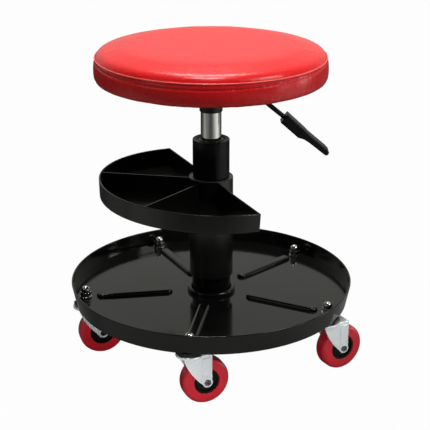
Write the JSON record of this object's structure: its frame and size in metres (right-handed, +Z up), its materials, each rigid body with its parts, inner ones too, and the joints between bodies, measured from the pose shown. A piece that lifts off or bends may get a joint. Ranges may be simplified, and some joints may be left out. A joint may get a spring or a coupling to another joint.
{
  "type": "creeper seat",
  "caption": "Low round workshop seat on a gas lift, with a swivelling half-round tool tray on its post and a round rimmed tray base on swivel casters.",
  "frame": {"origin": "on the ground plane under the centre of the column", "axes": "+Z up along the column, -Y toward the picture's camera side, +X to its right, where the release lever points"},
  "size_m": [0.3997, 0.3894, 0.4333],
  "materials": {
    "tray_black": "gloss",
    "pan_black": "satin",
    "frame_black": "satin",
    "chrome": "polished",
    "steel": "ground",
    "zinc": "bright zinc plate",
    "pale_nylon": "moulded nylon",
    "dark_plastic": "fine grain",
    "red_wheel": "smooth",
    "buffer_rubber": "matt",
    "plywood": "raw plywood",
    "foam": "open foam",
    "red_vinyl": "semi-gloss vinyl"
  },
  "bodies": {
    "base": {"base_tray": "tray_black", "tray_rim": "tray_black", "post_tube": "tray_black", "post_ring": "tray_black", "hub_plate": "frame_black", "outer_column": "tray_black", "guide_bush": "pale_nylon", "thrust_race_lower": "steel", "thrust_balls": "steel", "cap_nuts": "chrome", "washers": "zinc", "caster_stem_1": "frame_black", "caster_stem_2": "frame_black", "caster_stem_3": "frame_black", "caster_stem_4": "frame_black", "caster_stem_5": "frame_black"},
    "rod": {"piston_rod": "steel", "rod_clip": "steel", "thrust_race_upper": "steel", "rubber_buffer": "buffer_rubber", "gas_piston": "dark_plastic"},
    "seat": {"gas_cylinder": "chrome", "hub_socket": "frame_black", "seat_plate": "frame_black", "seat_bolts": "steel", "seat_tnuts": "steel", "seat_board": "plywood", "seat_foam": "foam", "seat_cover": "red_vinyl", "lever_bracket": "frame_black", "lever_pivot": "steel"},
    "lever": {"lever_rod": "frame_black", "lever_grip": "dark_plastic"},
    "valve": {"release_pin": "steel"},
    "tool_tray": {"tray_sleeve": "pan_black", "sleeve_bush_top": "pale_nylon", "sleeve_bush_bottom": "pale_nylon", "moon_tray": "pan_black", "divider_rear": "pan_black", "divider_front": "pan_black"},
    "caster_1": {"caster_fork_1": "zinc", "caster_axle_1": "steel"},
    "wheel_1": {"wheel_tread_1": "red_wheel", "wheel_hub_1": "dark_plastic"},
    "caster_2": {"caster_fork_2": "zinc", "caster_axle_2": "steel"},
    "wheel_2": {"wheel_tread_2": "red_wheel", "wheel_hub_2": "dark_plastic"},
    "caster_3": {"caster_fork_3": "zinc", "caster_axle_3": "steel"},
    "wheel_3": {"wheel_tread_3": "red_wheel", "wheel_hub_3": "dark_plastic"},
    "caster_4": {"caster_fork_4": "zinc", "caster_axle_4": "steel"},
    "wheel_4": {"wheel_tread_4": "red_wheel", "wheel_hub_4": "dark_plastic"},
    "caster_5": {"caster_fork_5": "zinc", "caster_axle_5": "steel"},
    "wheel_5": {"wheel_tread_5": "red_wheel", "wheel_hub_5": "dark_plastic"}
  },
  "joints": [
    {"name": "seat_swivel", "type": "hinge", "parent": "base", "child": "rod", "pos_m": [0, 0, 0.09], "axis": [0, 0, 1], "continuous": true},
    {"name": "seat_lift", "type": "slide", "parent": "rod", "child": "seat", "axis": [0, 0, 1], "range_m": [-0.03, 0.08]},
    {"name": "lever_lift", "type": "hinge", "parent": "seat", "child": "lever", "pos_m": [0.028, 0, 0.38], "axis": [0, -1, 0], "range_deg": [0, 6], "stiffness_Nm_per_rad": 3, "springref_deg": -8.59},
    {"name": "valve_press", "type": "slide", "parent": "seat", "child": "valve", "axis": [0, 0, -1], "range_m": [0, 0.0035]},
    {"name": "tray_swivel", "type": "hinge", "parent": "base", "child": "tool_tray", "pos_m": [0, 0, 0.25], "axis": [0, 0, 1], "continuous": true},
    {"name": "caster_swivel_1", "type": "hinge", "parent": "base", "child": "caster_1", "pos_m": [-0.02753, -0.17383, 0.07], "axis": [0, 0, 1], "continuous": true},
    {"name": "wheel_spin_1", "type": "hinge", "parent": "caster_1", "child": "wheel_1", "pos_m": [-0.00899, -0.16634, 0.03175], "axis": [0.3746, -0.9272, 0], "continuous": true},
    {"name": "caster_swivel_2", "type": "hinge", "parent": "base", "child": "caster_2", "pos_m": [0.15682, -0.0799, 0.07], "axis": [0, 0, 1], "continuous": true},
    {"name": "wheel_spin_2", "type": "hinge", "parent": "caster_2", "child": "wheel_2", "pos_m": [0.17422, -0.07005, 0.03175], "axis": [0.4924, -0.8704, 0], "continuous": true},
    {"name": "caster_swivel_3", "type": "hinge", "parent": "base", "child": "caster_3", "pos_m": [0.12445, 0.12445, 0.07], "axis": [0, 0, 1], "continuous": true},
    {"name": "wheel_spin_3", "type": "hinge", "parent": "caster_3", "child": "wheel_3", "pos_m": [0.14211, 0.13384, 0.03175], "axis": [0.4695, -0.8829, 0], "continuous": true},
    {"name": "caster_swivel_4", "type": "hinge", "parent": "base", "child": "caster_4", "pos_m": [-0.0799, 0.15682, 0.07], "axis": [0, 0, 1], "continuous": true},
    {"name": "wheel_spin_4", "type": "hinge", "parent": "caster_4", "child": "wheel_4", "pos_m": [-0.06258, 0.16682, 0.03175], "axis": [0.5, -0.866, 0], "continuous": true},
    {"name": "caster_swivel_5", "type": "hinge", "parent": "base", "child": "caster_5", "pos_m": [-0.17383, -0.02753, 0.07], "axis": [0, 0, 1], "continuous": true},
    {"name": "wheel_spin_5", "type": "hinge", "parent": "caster_5", "child": "wheel_5", "pos_m": [-0.15471, -0.02168, 0.03175], "axis": [0.2924, -0.9563, 0], "continuous": true}
  ],
  "couplings": [
    {"joint": "valve_press", "follows": "lever_lift", "m_per_rad": 0.03}
  ]
}
